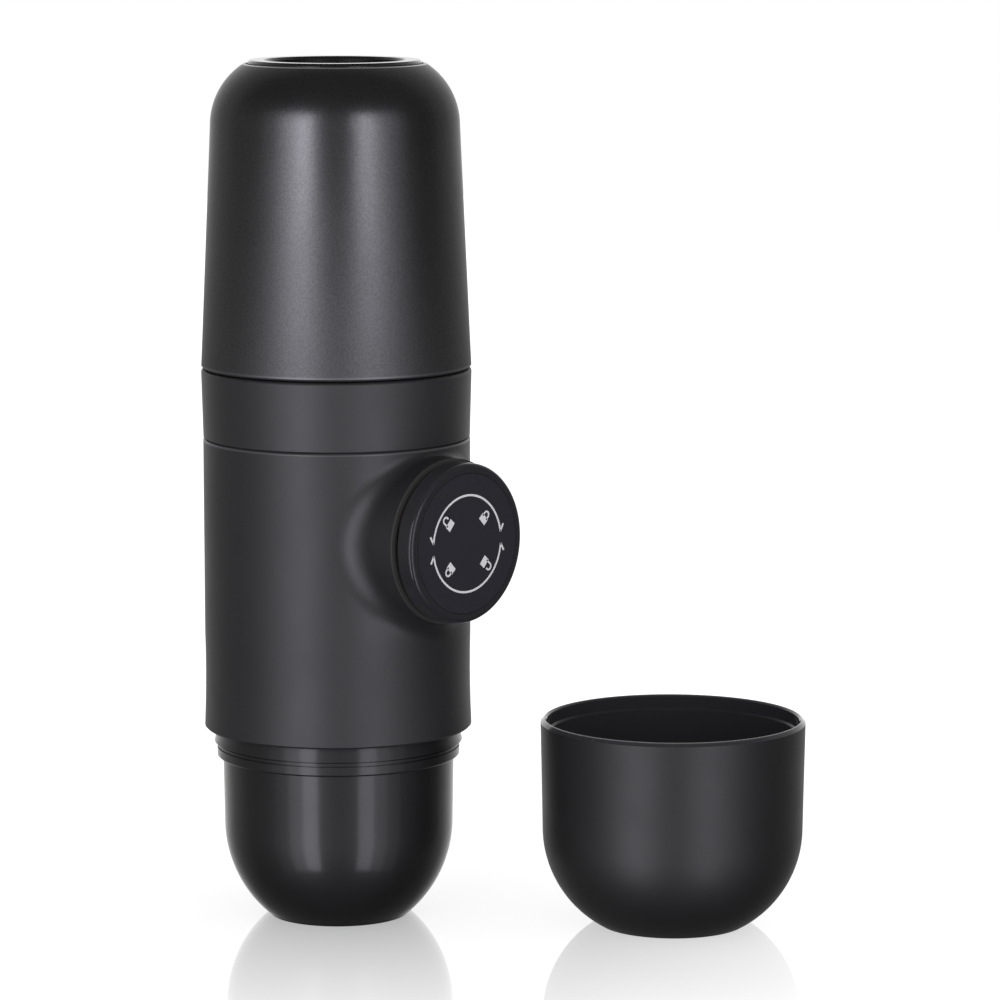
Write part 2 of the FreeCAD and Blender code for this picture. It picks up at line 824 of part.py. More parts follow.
# ---- pump ----------------------------------------------------------------------------------
def make_pump_block():
    """Cylinder along the pump axis, with the upright water passage and its two valve pockets."""
    closed = gallery_reach - gallery_bore - gallery_end_wall
    block = on_pump(ring(0, cylinder_radius, closed, cylinder_end))
    block = block.fuse(rod_at(0, gallery_y, column_radius, pump_foot_z, column_top))
    half_width = pump_screw_spread + screw_head_radius
    corner = Vec(-half_width, gallery_y - screw_head_radius, pump_foot_z)
    block = block.fuse(Part.makeBox(2 * half_width, 2 * screw_head_radius, deck_thickness, corner))
    low = pump_foot_z - overshoot
    high = column_top + overshoot
    hollows = [
        on_pump(ring(0, bore_radius, bore_end, bore_mouth)),
        on_pump(ring(0, gland_radius + seat_gap, bore_mouth, cylinder_end + overshoot)),
        on_pump(ring(0, gallery_bore, gallery_reach, bore_end + overshoot)),
        rod_at(0, gallery_y, gallery_bore, low, high),
        rod_at(0, gallery_y, valve_pocket_radius, column_top - valve_pocket_depth, high),
        rod_at(0, gallery_y, valve_pocket_radius, low, outlet_seat_z),
    ]
    for side in (-1, 1):
        x = side * pump_screw_spread
        hollows.append(rod_at(x, gallery_y, screw_radius + seat_gap, low, pump_foot_z + deck_thickness + overshoot))
    for hollow in hollows:
        block = block.cut(hollow)
    return block.removeSplitter()


def make_cylinder_gland():
    """Bush that closes the cylinder's mouth and guides the rod."""
    return on_pump(ring(rod_radius + running_gap, gland_radius, bore_mouth, cylinder_end))


def make_port_seal(low):
    seal = ring(valve_pocket_radius, column_radius, low, low + port_seal_height)
    seal.translate(Vec(0, gallery_y, 0))
    return seal


def make_pump_screws():
    head_z = pump_foot_z + deck_thickness
    length = head_z - deck_top + deck_screw_depth
    return Part.makeCompound([screw(side * pump_screw_spread, gallery_y, head_z, length) for side in (-1, 1)])


def make_valve(seat_z):
    """Small poppet that hangs just under its seat, with a guide stem below its disc."""
    top = seat_z - part_off
    back = top - valve_thickness
    poppet = turned([
        (0, back - valve_stem_length),
        (valve_stem_radius, back - valve_stem_length),
        (valve_stem_radius, back),
        (valve_radius, back),
        (valve_radius, top),
        (0, top),
    ])
    poppet.translate(Vec(0, gallery_y, 0))
    return poppet


def make_piston():
    """Grooved piston, pressed home in its bore."""
    radius = bore_radius - running_gap
    groove_radius = radius - piston_groove / 2
    front = piston_back + piston_length
    groove_back = piston_middle - piston_groove / 2
    groove_front = piston_middle + piston_groove / 2
    return on_pump(turned([
        (0, piston_back),
        (radius, piston_back),
        (radius, groove_back),
        (groove_radius, groove_back),
        (groove_radius, groove_front),
        (radius, groove_front),
        (radius, front),
        (rod_radius, front),
        (rod_radius, piston_middle),
        (0, piston_middle),
    ]))


def make_piston_seal():
    radius = bore_radius - running_gap
    half = piston_groove / 2
    return on_pump(ring(radius - half, radius, piston_middle - half, piston_middle + half))


def make_piston_rod():
    """Rod from the piston, through the gland, to the knob; its flange takes the spring's push."""
    flange_radius = spring_radius + spring_wire
    flange_front = hub_back - free_gap
    flange_back = flange_front - spring_seat
    return on_pump(turned([
        (0, piston_middle),
        (rod_radius, piston_middle),
        (rod_radius, flange_back),
        (flange_radius, flange_back),
        (flange_radius, flange_front),
        (rod_radius, flange_front),
        (rod_radius, rod_end),
        (0, rod_end),
    ]))


def make_rod_screw():
    """Low screw head on the rod's end that keeps the knob on."""
    return on_pump(ring(0, rod_screw_radius, rod_end, face_back - free_gap - part_off))


def make_return_spring():
    spring = coil(spring_radius, spring_wire, spring_back, spring_front, spring_turns, spring_facets)
    return on_pump(spring)


# ---- knob ----------------------------------------------------------------------------------
def make_knob():
    """Round push knob: cap, guide skirt with two bayonet lugs, and the hub on the rod."""
    web_front = rod_end - free_gap
    web_back = web_front - cap_floor
    skirt_root = knob_back - skirt_length
    rod_bore = rod_radius + 2 * running_gap
    screw_recess = rod_screw_radius + free_gap
    knob = turned([
        (skirt_inner, skirt_root),
        (skirt_radius, skirt_root),
        (skirt_radius, knob_back),
        (knob_radius, knob_back),
        (knob_radius, knob_front, knob_edge_round),
        (face_radius + part_off, knob_front),
        (face_radius + part_off, face_back),
        (screw_recess, face_back),
        (screw_recess, web_front),
        (rod_bore, web_front),
        (rod_bore, hub_back),
        (hub_radius, hub_back),
        (hub_radius, web_back),
        (skirt_inner, web_back),
    ])
    for side in (0, 180):
        lug = sector(skirt_inner + skirt_wall / 2, lug_radius, lug_back, lug_front, side, lug_angle)
        knob = knob.fuse(lug)
    return on_pump(knob.removeSplitter())


def make_knob_face():
    """Disc set in the knob's front, flush with its rim."""
    return on_pump(ring(0, face_radius, face_back, knob_front))


# ---- cup -----------------------------------------------------------------------------------
def make_cup():
    """Round-bottomed cup, which snaps over the outlet head as a cap."""
    foot_r = side_arc(cup_radius, cup_curve_height, cup_curve_radius, 0)[0]
    rim_r = cup_radius + cup_rim_flare
    snap_r = neck_ring_radius + free_gap
    snap_z = cup_height - cup_snap_depth
    bore_r = cup_radius - cup_wall
    inner_curve = cup_curve_radius - cup_wall
    floor_r = side_arc(bore_r, cup_curve_height, inner_curve, cup_floor)[0]
    cup = turned([
        (0, 0),
        (foot_r, 0),
        side_arc_middle(cup_radius, cup_curve_height, cup_curve_radius, 0),
        (cup_radius, cup_curve_height),
        (rim_r, cup_height - cup_rim_edge),
        (rim_r - cup_rim_edge, cup_height),
        (snap_r + cup_rim_edge / 2, cup_height),
        (snap_r, cup_height - cup_rim_edge / 2),
        (snap_r, snap_z),
        (bore_r, snap_z - free_gap),
        (bore_r, cup_curve_height),
        side_arc_middle(bore_r, cup_curve_height, inner_curve, cup_floor),
        (floor_r, cup_floor),
        (0, cup_floor),
    ])
    cup.translate(Vec(cup_x, cup_y, 0))
    return cup


NODES = {
    "outlet_head": make_outlet_head,
    "outlet_nozzle": make_outlet_nozzle,
    "filter_adapter": make_filter_adapter,
    "filter_basket": make_filter_basket,
    "adapter_gasket": make_adapter_gasket,
    "shower_screen": make_shower_screen,
    "screen_screw": make_screen_screw,
    "main_housing": make_main_housing,
    "guide_barrel": make_guide_barrel,
    "coupling_collar": make_coupling_collar,
    "collar_screws": make_collar_screws,
    "inlet_strainer": make_inlet_strainer,
    "vent_valve": make_vent_valve,
    "tank_shell": make_tank_shell,
    "tank_foot_ring": make_tank_foot_ring,
    "tank_seal": make_tank_seal,
    "pump_block": make_pump_block,
    "cylinder_gland": make_cylinder_gland,
    "inlet_port_seal": lambda: make_port_seal(column_top),
    "outlet_port_seal": lambda: make_port_seal(deck_top),
    "pump_screws": make_pump_screws,
    "inlet_valve": lambda: make_valve(collar_deck_z),
    "outlet_valve": lambda: make_valve(outlet_seat_z),
    "piston": make_piston,
    "piston_seal": make_piston_seal,
    "piston_rod": make_piston_rod,
    "rod_screw": make_rod_screw,
    "return_spring": make_return_spring,
    "knob": make_knob,
    "knob_face": make_knob_face,
    "cup": make_cup,
}


def main():
    os.makedirs("parts", exist_ok=True)
    for name, make in NODES.items():
        make().exportStep("parts/" + name + ".step")


main()
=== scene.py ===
import math

import bmesh
import bpy
from mathutils import Matrix, Vector


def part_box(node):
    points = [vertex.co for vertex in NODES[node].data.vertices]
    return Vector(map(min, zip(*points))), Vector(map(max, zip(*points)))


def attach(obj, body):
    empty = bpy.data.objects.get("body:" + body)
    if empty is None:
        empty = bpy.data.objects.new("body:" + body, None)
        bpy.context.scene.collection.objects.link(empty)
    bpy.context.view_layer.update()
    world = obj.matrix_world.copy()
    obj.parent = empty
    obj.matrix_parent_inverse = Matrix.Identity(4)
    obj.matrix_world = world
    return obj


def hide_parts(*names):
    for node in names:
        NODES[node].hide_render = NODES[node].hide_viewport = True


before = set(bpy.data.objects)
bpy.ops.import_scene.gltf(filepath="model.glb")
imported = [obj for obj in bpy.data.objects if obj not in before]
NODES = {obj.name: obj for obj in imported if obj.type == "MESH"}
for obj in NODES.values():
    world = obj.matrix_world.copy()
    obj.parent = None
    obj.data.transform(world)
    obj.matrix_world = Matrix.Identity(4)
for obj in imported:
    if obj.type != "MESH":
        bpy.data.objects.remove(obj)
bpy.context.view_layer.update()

MM = 0.001

# the camera's place from the foot of the outlet head, which is the origin, in millimetres
AHEAD = Vector((0.7294, 0.6841, 0.0)).normalized()
RIGHT = Vector((AHEAD.y, -AHEAD.x, 0.0))
CAMERA_PITCH = 8.26
CAMERA_ROLL = 0.03
CAMERA_LENS = 166.7
CAMERA_AWAY = 1040.0
CAMERA_ASIDE = 36.10
CAMERA_RAISED = 92.12

# six upright soft boxes in an arc round the object, in metres
LAMP_AWAY = 1.0
LAMP_WIDE = 0.27
LAMP_TOP = 0.62
LAMP_BOTTOM = -0.8
LAMP_TINT = (0.985, 0.968, 1.07)
# degrees from the camera's side to the right, and brightness
LAMPS = {
    "left_inner": (-26.0, 2.7), "left_middle": (-41.0, 0.95), "left_outer": (-57.0, 0.15),
    "right_inner": (29.0, 2.1), "right_middle": (43.0, 0.65), "right_outer": (58.0, 0.25),
}

# world: how far towards the back of the sky, and the level that glossy surfaces see there
BACKDROP = ((0.60, 0.0), (0.82, 0.21), (0.93, 0.72), (0.975, 1.0))
ROOM_LEFT, ROOM_RIGHT = 0.135, 0.065
ROOM_TURN = 0.6            # how far to the right the room is at its darkest
CEILING = 0.072
CEILING_LOW, CEILING_HIGH = 0.15, 0.6
BELOW = 0.3                # share of the light that comes from below
BELOW_LOW, BELOW_HIGH = -0.6, -0.12
AMBIENT = 0.5

FLOOR_SIZE = 3.0
FLOOR_MATTE = 0.6
FLOOR_GLOW = 0.94
FLOOR_BOUNCE = 0.25
SHEEN_REACH = 0.203        # the floor mirrors the object this far round its foot
SHEEN_SHARE = 0.61

# where surfaces change, and where painted highlight and shade lines lie, in millimetres on the Z
# axis, or on the Y axis for the boss's lip
TANK_WALL = (124.0, 176.0)     # the tank grows smoother towards its end
# painted highlights: light lines on the tank's bottom edge and on the lip at its end
TANK_EDGE_HIGHLIGHT = (123.0, 123.9)
TANK_LIP_HIGHLIGHT = (189.4, 189.9)
FOOT_RING_TOP = (190.1, 190.7)
# painted shade: dark line in the gap where the collar meets the housing
COLLAR_SEAM_SHADE = (107.2, 107.75)
# painted highlight: light line on the housing's top edge under the collar
HOUSING_EDGE_HIGHLIGHT = (106.7, 107.3)
# painted highlight: light line on the boss's lip
BOSS_LIP_HIGHLIGHT = (-34.9, -34.2)
BOSS_NEAR, BOSS_FAR = 20.0, 27.0   # from the knob's axis
BOSS_FRONT = 10.0              # the flare is fully smooth this far ahead of the maker's axis
# painted highlight: light line along the cup's rim
CUP_RIM_HIGHLIGHT = (45.8, 46.2)
CUP_LEAN = (0.0, 0.0, -0.9)    # added to the way out of the cup, so that its rim counts as inside
CUP_TURN = (0.1, 0.5)          # how far the surface faces that way where the inside's finish ends
BAND_CORE = 0.6                # share of a line that has its full strength

NOISE_LOW, NOISE_HIGH = 0.35, 0.65
CLOUD_SCALE = 90.0             # unevenness of the gloss
GRAIN_STRENGTH = 0.5

# white print on the knob's disc, in millimetres and degrees from the disc's centre
PRINT_PROUD = 0.03
PRINT_RADIUS = 10.55
PRINT_STROKE = 0.46
PRINT_GAP = 7.0            # from the level line to an arrow's tip
PRINT_TURN = 1.5
BARB_LENGTH = 1.9
BARB_TURN = 36.0
LOCK_REACH = 6.2           # from the disc's centre to a padlock's foot
LOCK_TURN = 42.0
LOCK_WIDTH = 2.3
LOCK_HEIGHT = 1.6
SHACKLE_RADIUS = 0.72
SHACKLE_LEG = 0.45
SHACKLE_STROKE = 0.4
SHACKLE_LIFT = 0.5         # how far an open padlock's shackle stands out
ARROW_STEPS = 72
SHACKLE_STEPS = 16

# threads and spring, in millimetres and degrees
THREAD_LEAD = 4.0
THREAD_BASE = 1.7
THREAD_CREST = 0.8
THREAD_PROUD = 0.22
THREAD_ROOT = 0.2          # how deep the ridge sits in the wall that carries it
THREAD_RUN_OUT = 35.0
THREAD_END = 0.05          # share of its height that the ridge keeps at its ends
THREAD_STEP = 5.0
THREAD_MARGIN = 0.6
NECK_RADIUS = 27.3
NECK_LOW, NECK_HIGH = 122.7, 132.0
SPIGOT_RADIUS = 26.0
SPIGOT_LOW, SPIGOT_HIGH = 42.35, 51.35

SPRING_RADIUS = 6.0
SPRING_WIRE = 1.1
SPRING_BACK, SPRING_FRONT = 18.8, 29.0
SPRING_TURNS = 6
SPRING_STEPS = 36          # to a turn
WIRE_SIDES = 12
PUMP_HEIGHT = 87.5


# ---------------------------------------------------------------- node helpers
def new_material(name):
    made = bpy.data.materials.new(name)
    made.use_nodes = True
    return made, made.node_tree


def node(tree, kind, inputs=(), **settings):
    """New node; inputs maps a socket to a value or to the output that feeds it."""
    made = tree.nodes.new(kind)
    for key, value in settings.items():
        setattr(made, key, value)
    for key, value in dict(inputs).items():
        if isinstance(value, bpy.types.NodeSocket):
            tree.links.new(value, made.inputs[key])
        else:
            made.inputs[key].default_value = value
    return made


def grey(level):
    return (level, level, level, 1.0)


def noise(tree, place, scale, detail=3.0, roughness=0.55):
    return node(tree, "ShaderNodeTexNoise", {
        "Vector": place, "Scale": scale, "Detail": detail, "Roughness": roughness,
    }).outputs["Fac"]


def spread(tree, source, low, high, source_low=NOISE_LOW, source_high=NOISE_HIGH):
    return node(tree, "ShaderNodeMapRange", {
        "Value": source, "From Min": source_low, "From Max": source_high,
        "To Min": low, "To Max": high,
    }).outputs["Result"]


def maths(tree, kind, *values):
    return node(tree, "ShaderNodeMath", dict(enumerate(values)), operation=kind).outputs[0]


def vector(tree, kind, *values):
    """Vector maths; a dot product or a length comes out of the node's Value socket."""
    made = node(tree, "ShaderNodeVectorMath", dict(enumerate(values)), operation=kind)
    return made.outputs["Value" if kind in ("DOT_PRODUCT", "LENGTH") else "Vector"]


def tint(tree, source, dark, light):
    ramp = node(tree, "ShaderNodeValToRGB", {"Fac": source})
    ends = ramp.color_ramp.elements
    ends[0].position, ends[0].color = NOISE_LOW, (*dark, 1.0)
    ends[1].position, ends[1].color = NOISE_HIGH, (*light, 1.0)
    return ramp.outputs["Color"]


def upwards(low, high):
    """Mask that grows from one height to another."""
    def mask(tree, place):
        height = node(tree, "ShaderNodeSeparateXYZ", {0: place}).outputs["Z"]
        return spread(tree, height, 0.0, 1.0, low * MM, high * MM)
    return mask


def band(low, high, axis="Z"):
    """Mask of a line round the part between two places on an axis."""
    middle = (low + high) / 2 * MM
    half = (high - low) / 2 * MM

    def mask(tree, place):
        along = node(tree, "ShaderNodeSeparateXYZ", {0: place}).outputs[axis]
        off = maths(tree, "SUBTRACT", along, middle)
        return spread(tree, maths(tree, "ABSOLUTE", off), 1.0, 0.0, BAND_CORE * half, half)
    return mask


def round_boss(tree, place):
    """Mask of the flare round the knob's boss, at the front of the housing."""
    low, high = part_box("knob_face")
    off = vector(tree, "SUBTRACT", place, (low + high) / 2)
    away = vector(tree, "LENGTH", vector(tree, "MULTIPLY", off, (1.0, 0.0, 1.0)))
    near = spread(tree, away, 1.0, 0.0, BOSS_NEAR * MM, BOSS_FAR * MM)
    depth = node(tree, "ShaderNodeSeparateXYZ", {0: place}).outputs["Y"]
    front = spread(tree, depth, 1.0, 0.0, -BOSS_FRONT * MM, 0.0)
    return maths(tree, "MULTIPLY", near, front)


def inside_cup(tree, place):
    """Mask of the cup's inside and rim, where the surface faces its axis or upwards."""
    low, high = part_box("cup")
    off = vector(tree, "SUBTRACT", place, (low + high) / 2)
    out = vector(tree, "NORMALIZE", vector(tree, "MULTIPLY", off, (1.0, 1.0, 0.0)))
    lean = vector(tree, "ADD", out, CUP_LEAN)
    facing = node(tree, "ShaderNodeTexCoord").outputs["Normal"]
    outward = vector(tree, "DOT_PRODUCT", facing, lean)
    return spread(tree, outward, 1.0, 0.0, *CUP_TURN)


def finish(name, dark, light, rough, grain=3000.0, relief=0.02, patches=(), **sockets):
    """Moulded or painted surface: speckled colour, uneven gloss and a fine grain.

    Each patch is a mask, the colour that the surface takes there and the roughness it gains;
    several patch colours are painted highlight or shade lines.
    """
    made, tree = new_material(name)
    place = node(tree, "ShaderNodeTexCoord").outputs["Object"]
    speckle = noise(tree, place, grain)
    colour = tint(tree, speckle, dark, light)
    roughness = spread(tree, noise(tree, place, CLOUD_SCALE), *rough)
    for mask, patch_colour, gain in patches:
        share = mask(tree, place)
        if patch_colour:
            colour = node(tree, "ShaderNodeMix", {0: share, 6: colour, 7: (*patch_colour, 1.0)},
                          data_type="RGBA").outputs[2]
        if gain:
            roughness = maths(tree, "MULTIPLY_ADD", share, gain, roughness)
    bump = node(tree, "ShaderNodeBump", {
        "Height": speckle, "Distance": relief * MM, "Strength": GRAIN_STRENGTH,
    })
    shader = tree.nodes["Principled BSDF"]
    tree.links.new(colour, shader.inputs["Base Color"])
    tree.links.new(roughness, shader.inputs["Roughness"])
    tree.links.new(bump.outputs["Normal"], shader.inputs["Normal"])
    for key, value in sockets.items():
        shader.inputs[key.replace("_", " ")].default_value = value
    return made


# ------------------------------------------------------------------- materials
# the tank's bottom edge and the lip at its end take lighter colours: painted highlights where
# these edges catch light
TANK = finish("tank_satin", (0.136, 0.136, 0.138), (0.180, 0.180, 0.183), (0.47, 0.49),
              grain=2600.0, Metallic=1.0, Specular_Tint=grey(0.58),
              patches=((upwards(*TANK_WALL), None, -0.2),
                       (band(*TANK_EDGE_HIGHLIGHT), (0.25, 0.25, 0.255), 0.0),
                       (band(*TANK_LIP_HIGHLIGHT), (0.8, 0.8, 0.81), 0.0)))
# the near-black, rougher line at the collar's foot is painted shade in the gap above the housing
COLLAR = finish("collar_soft", (0.010, 0.010, 0.011), (0.014, 0.014, 0.016), (0.50, 0.53),
                IOR=1.88, patches=((band(*COLLAR_SEAM_SHADE), (0.002, 0.002, 0.002), 0.4),))
# the lighter lines on the housing's top edge and on the boss's lip are painted highlights
HOUSING = finish("housing_soft", (0.011, 0.011, 0.012), (0.015, 0.015, 0.017), (0.49, 0.52),
                 IOR=1.8, patches=((round_boss, None, -0.06),
                                   (band(*HOUSING_EDGE_HIGHLIGHT), (0.07, 0.07, 0.074), -0.1),
                                   (band(*BOSS_LIP_HIGHLIGHT, "Y"), (0.055, 0.053, 0.049), -0.1)))
HEAD = finish("head_gloss", (0.003, 0.003, 0.0035), (0.005, 0.005, 0.0055), (0.44, 0.48),
              relief=0.002, IOR=1.58, Coat_Weight=0.7, Coat_Roughness=0.15, Coat_IOR=1.48,
              patches=((band(*FOOT_RING_TOP), None, -0.2),))
# the light line round the cup's rim is a painted highlight
CUP = finish("cup_satin", (0.005, 0.005, 0.0055), (0.008, 0.008, 0.0085), (0.47, 0.51),
             relief=0.006, IOR=1.76, patches=((inside_cup, (0.035, 0.035, 0.037), -0.42),
                                              (band(*CUP_RIM_HIGHLIGHT), (0.10, 0.10, 0.10), 0.0)))
KNOB = finish("knob_gloss", (0.024, 0.0245, 0.027), (0.029, 0.0295, 0.033), (0.14, 0.18),
              relief=0.004)
FACE = finish("knob_face", (0.022, 0.0225, 0.030), (0.027, 0.0275, 0.036), (0.42, 0.46),
              relief=0.006)
INNER = finish("inner_plastic", (0.030, 0.030, 0.032), (0.042, 0.042, 0.045), (0.40, 0.48))
RUBBER = finish("silicone", (0.46, 0.46, 0.44), (0.52, 0.52, 0.50), (0.50, 0.60))
PRINT = finish("knob_print", (0.90, 0.90, 0.90), (0.95, 0.95, 0.95), (0.45, 0.50),
               relief=0.004)
STEEL = finish("steel", (0.50, 0.50, 0.51), (0.60, 0.60, 0.61), (0.22, 0.32),
               relief=0.004, Metallic=1.0)

BY_SLOT = {
    "head_gloss": HEAD, "housing_soft": HOUSING, "collar_soft": COLLAR,
    "tank_satin": TANK, "cup_satin": CUP, "knob_gloss": KNOB, "knob_face": FACE,
    "inner_plastic": INNER, "silicone": RUBBER, "steel": STEEL,
}


def dress_nodes():
    """Give each node the material that its slot in the record names."""
    for piece in NODES.values():
        for place in piece.material_slots:
            base = place.material.name.split(".")[0]
            place.material = BY_SLOT[base]


# ------------------------------------------------------------- added fine pieces
def sweep(mesh, rings):
    """Closed solid through rings that have as many points each."""
    loops = [[mesh.verts.new(point * MM) for point in ring] for ring in rings]
    count = len(loops[0])
    for first, second in zip(loops, loops[1:]):
        for i in range(count):
            j = (i + 1) % count
            mesh.faces.new((first[i], first[j], second[j], second[i]))
    mesh.faces.new(loops[0])
    mesh.faces.new(loops[-1])


def make_piece(name, sweeps, body, material):
    """One visible piece out of closed sweeps, which rides on a body."""
    mesh = bmesh.new()
    for rings in sweeps:
        sweep(mesh, rings)
    bmesh.ops.recalc_face_normals(mesh, faces=mesh.faces)
    data = bpy.data.meshes.new(name)
    mesh.to_mesh(data)
    mesh.free()
    data.materials.append(material)
    piece = bpy.data.objects.new(name, data)
    bpy.context.scene.collection.objects.link(piece)
    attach(piece, body)
    return piece


def polar(radius, degrees):
    angle = math.radians(degrees)
    return Vector((radius * math.cos(angle), radius * math.sin(angle)))


def arc(radius, start, end, steps):
    return [polar(radius, start + (end - start) * i / steps) for i in range(steps + 1)]


def ribbon(path, width):
    """Thin strip of print along a path on the knob's disc."""
    low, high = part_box("knob_face")
    front = low[1] / MM
    middle = (low[2] + high[2]) / 2 / MM
    rings = []
    for i, point in enumerate(path):
        along = (path[min(i + 1, len(path) - 1)] - path[max(i - 1, 0)]).normalized()
        across = Vector((-along.y, along.x)) * width / 2
        rings.append([
            Vector((spot.x, front + depth, middle + spot.y))
            for spot, depth in (
                (point - across, -PRINT_PROUD), (point + across, -PRINT_PROUD),
                (point + across, PRINT_PROUD), (point - across, PRINT_PROUD),
            )
        ])
    return rings


def arrow(start, end):
    """Arc with a single outer barb at each end."""
    strips = [ribbon(arc(PRINT_RADIUS, start, end, ARROW_STEPS), PRINT_STROKE)]
    for tip, way in ((start, 1.0), (end, -1.0)):
        point = polar(PRINT_RADIUS, tip)
        back = polar(BARB_LENGTH, tip + way * (90.0 - BARB_TURN))
        strips.append(ribbon([point, point + back], PRINT_STROKE))
    return strips


def padlock(turn, lift):
    """Padlock with its foot towards the disc's centre; lift draws one leg of its shackle out."""
    body_top = LOCK_HEIGHT / 2
    crown = body_top + SHACKLE_LEG + lift
    round_top = arc(SHACKLE_RADIUS, 180.0, 0.0, SHACKLE_STEPS)
    bow = [point + Vector((0, crown)) for point in round_top]
    fixed = [Vector((-SHACKLE_RADIUS, body_top - SHACKLE_STROKE))]
    free = [Vector((SHACKLE_RADIUS, body_top - SHACKLE_STROKE + 2 * lift))]
    plate = [Vector((0, -body_top)), Vector((0, body_top))]
    place = Matrix.Rotation(math.radians(turn - 90.0), 2)
    out = polar(LOCK_REACH + LOCK_HEIGHT / 2, turn)
    shapes = ((plate, LOCK_WIDTH), (fixed + bow + free, SHACKLE_STROKE))
    return [ribbon([place @ point + out for point in path], width) for path, width in shapes]


def make_print():
    """Two round arrows with an open and a shut padlock inside each."""
    sweeps = []
    for side in (0.0, 180.0):
        turn = side + PRINT_TURN
        sweeps += arrow(turn + PRINT_GAP, turn + 180.0 - PRINT_GAP)
        sweeps += padlock(turn + LOCK_TURN, 0.0)
        sweeps += padlock(turn + 180.0 - LOCK_TURN, SHACKLE_LIFT)
    make_piece("knob_print", sweeps, "knob", PRINT)


def thread(radius, low, high):
    """Ridge of a right-hand thread on an upright wall, run out at both ends."""
    start = low + THREAD_MARGIN + THREAD_BASE / 2
    end = high - THREAD_MARGIN - THREAD_BASE / 2
    turned = 360.0 * (end - start) / THREAD_LEAD
    steps = round(turned / THREAD_STEP)
    rings = []
    for i in range(steps + 1):
        turn = turned * i / steps
        ease = min(1.0, turn / THREAD_RUN_OUT, (turned - turn) / THREAD_RUN_OUT)
        crest = radius - THREAD_ROOT + (THREAD_ROOT + THREAD_PROUD) * max(ease, THREAD_END)
        z = start + THREAD_LEAD * turn / 360.0
        section = (
            (radius - THREAD_ROOT, -THREAD_BASE / 2), (crest, -THREAD_CREST / 2),
            (crest, THREAD_CREST / 2), (radius - THREAD_ROOT, THREAD_BASE / 2),
        )
        rings.append([polar(r, turn).to_3d() + Vector((0, 0, z + rise)) for r, rise in section])
    return rings


def make_threads():
    make_piece("neck_thread", [thread(NECK_RADIUS, NECK_LOW, NECK_HIGH)],
               "housing", COLLAR)
    make_piece("head_thread", [thread(SPIGOT_RADIUS, SPIGOT_LOW, SPIGOT_HIGH)],
               "head", HEAD)


def make_spring():
    """Coil of round wire round the pump's rod, with a closed turn at each end."""
    reach = SPRING_FRONT - SPRING_BACK - SPRING_WIRE
    open_lead = (reach - 2 * SPRING_WIRE) / (SPRING_TURNS - 2)
    steps = SPRING_TURNS * SPRING_STEPS
    section = arc(SPRING_WIRE / 2, 0.0, 360.0 * (1 - 1 / WIRE_SIDES), WIRE_SIDES - 1)
    rings = []
    for i in range(steps + 1):
        turns = SPRING_TURNS * i / steps
        closed = min(turns, 1.0) + max(turns - SPRING_TURNS + 1.0, 0.0)
        climb = closed * SPRING_WIRE + (turns - closed) * open_lead
        away = polar(1.0, 360.0 * turns)
        out = Vector((away.x, 0.0, away.y))
        middle = Vector((0, -SPRING_BACK - SPRING_WIRE / 2 - climb, PUMP_HEIGHT))
        middle += out * SPRING_RADIUS
        rings.append([middle + out * spot.x + Vector((0, spot.y, 0)) for spot in section])
    spring = make_piece("return_spring_coil", [rings], "housing", STEEL)
    for face in spring.data.polygons:
        face.use_smooth = len(face.vertices) == 4
    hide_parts("return_spring")


# ------------------------------------------------------------------ the studio
def seen_backdrop(tree, way):
    """White wall behind the object, as glossy surfaces see it."""
    behind = vector(tree, "DOT_PRODUCT", way, AHEAD)
    ramp = node(tree, "ShaderNodeValToRGB", {"Fac": spread(tree, behind, 0.0, 1.0, -1.0, 1.0)})
    stops = ramp.color_ramp.elements
    stops[0].position = BACKDROP[0][0]
    stops[1].position = BACKDROP[-1][0]
    for at, _ in BACKDROP[1:-1]:
        stops.new(at)
    for stop, (_, level) in zip(stops, BACKDROP):
        stop.color = grey(level)
    return ramp.outputs["Color"]


def seen_room(tree, way, height):
    """Dim walls, lighter on the left, under a dark ceiling."""
    aside = vector(tree, "DOT_PRODUCT", way, RIGHT)
    room = spread(tree, aside, ROOM_LEFT, ROOM_RIGHT, 0.0, ROOM_TURN)
    upper = spread(tree, height, 0.0, 1.0, CEILING_LOW, CEILING_HIGH)
    mixed = node(tree, "ShaderNodeMix", {"Factor": upper, "A": room, "B": CEILING})
    return mixed.outputs["Result"]


def make_world():
    """White to the camera, a studio to glossy surfaces and even light to the rest."""
    world = bpy.data.worlds.new("studio")
    world.use_nodes = True
    tree = world.node_tree
    path = node(tree, "ShaderNodeLightPath").outputs
    way = node(tree, "ShaderNodeTexCoord").outputs["Generated"]
    height = node(tree, "ShaderNodeSeparateXYZ", {0: way}).outputs["Z"]
    all_round = maths(tree, "ADD", seen_backdrop(tree, way), seen_room(tree, way, height))
    above = spread(tree, height, BELOW, 1.0, BELOW_LOW, BELOW_HIGH)
    seen = maths(tree, "MULTIPLY", all_round, above)
    lit = node(tree, "ShaderNodeMix", {"Factor": path["Is Glossy Ray"], "A": AMBIENT, "B": seen})
    plain = maths(tree, "MAXIMUM", path["Is Camera Ray"], path["Is Singular Ray"])
    strength = node(tree, "ShaderNodeMix", {"Factor": plain, "A": lit.outputs["Result"], "B": 1.0})
    sky = tree.nodes["Background"]
    sky.inputs["Color"].default_value = grey(1.0)
    tree.links.new(strength.outputs["Result"], sky.inputs["Strength"])
    bpy.context.scene.world = world


